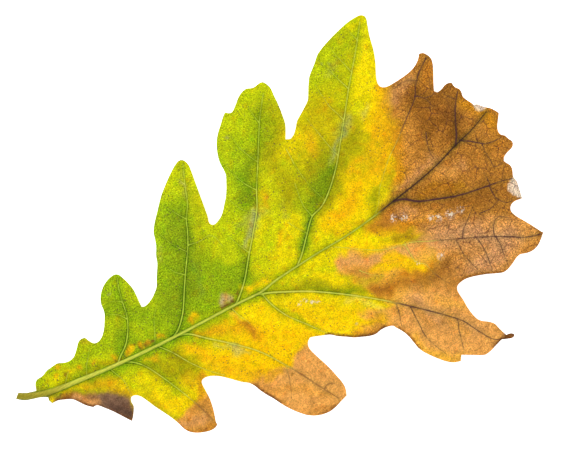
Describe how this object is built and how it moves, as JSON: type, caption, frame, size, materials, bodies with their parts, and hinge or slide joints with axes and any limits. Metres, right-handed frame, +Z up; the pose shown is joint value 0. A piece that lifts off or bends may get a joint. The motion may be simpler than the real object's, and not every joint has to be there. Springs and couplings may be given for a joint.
{
  "type": "oak leaf",
  "caption": "Fallen autumn oak leaf with deep rounded lobes, a short stalk and ribs raised on its underside, lying arched on a surface.",
  "frame": {"origin": "centre of the leaf's box in plan, at the height of the surface it lies on", "axes": "+X from the cut end of the stalk to the leaf's apex, +Y to the leaf's left seen from above, +Z up, out of its upper side"},
  "size_m": [0.1328, 0.0842, 0.0075],
  "materials": {
    "leaf_tissue": "waxy satin leaf, green and yellow turning to dry brown"
  },
  "bodies": {
    "root": {"oak_leaf": "leaf_tissue"}
  },
  "joints": []
}
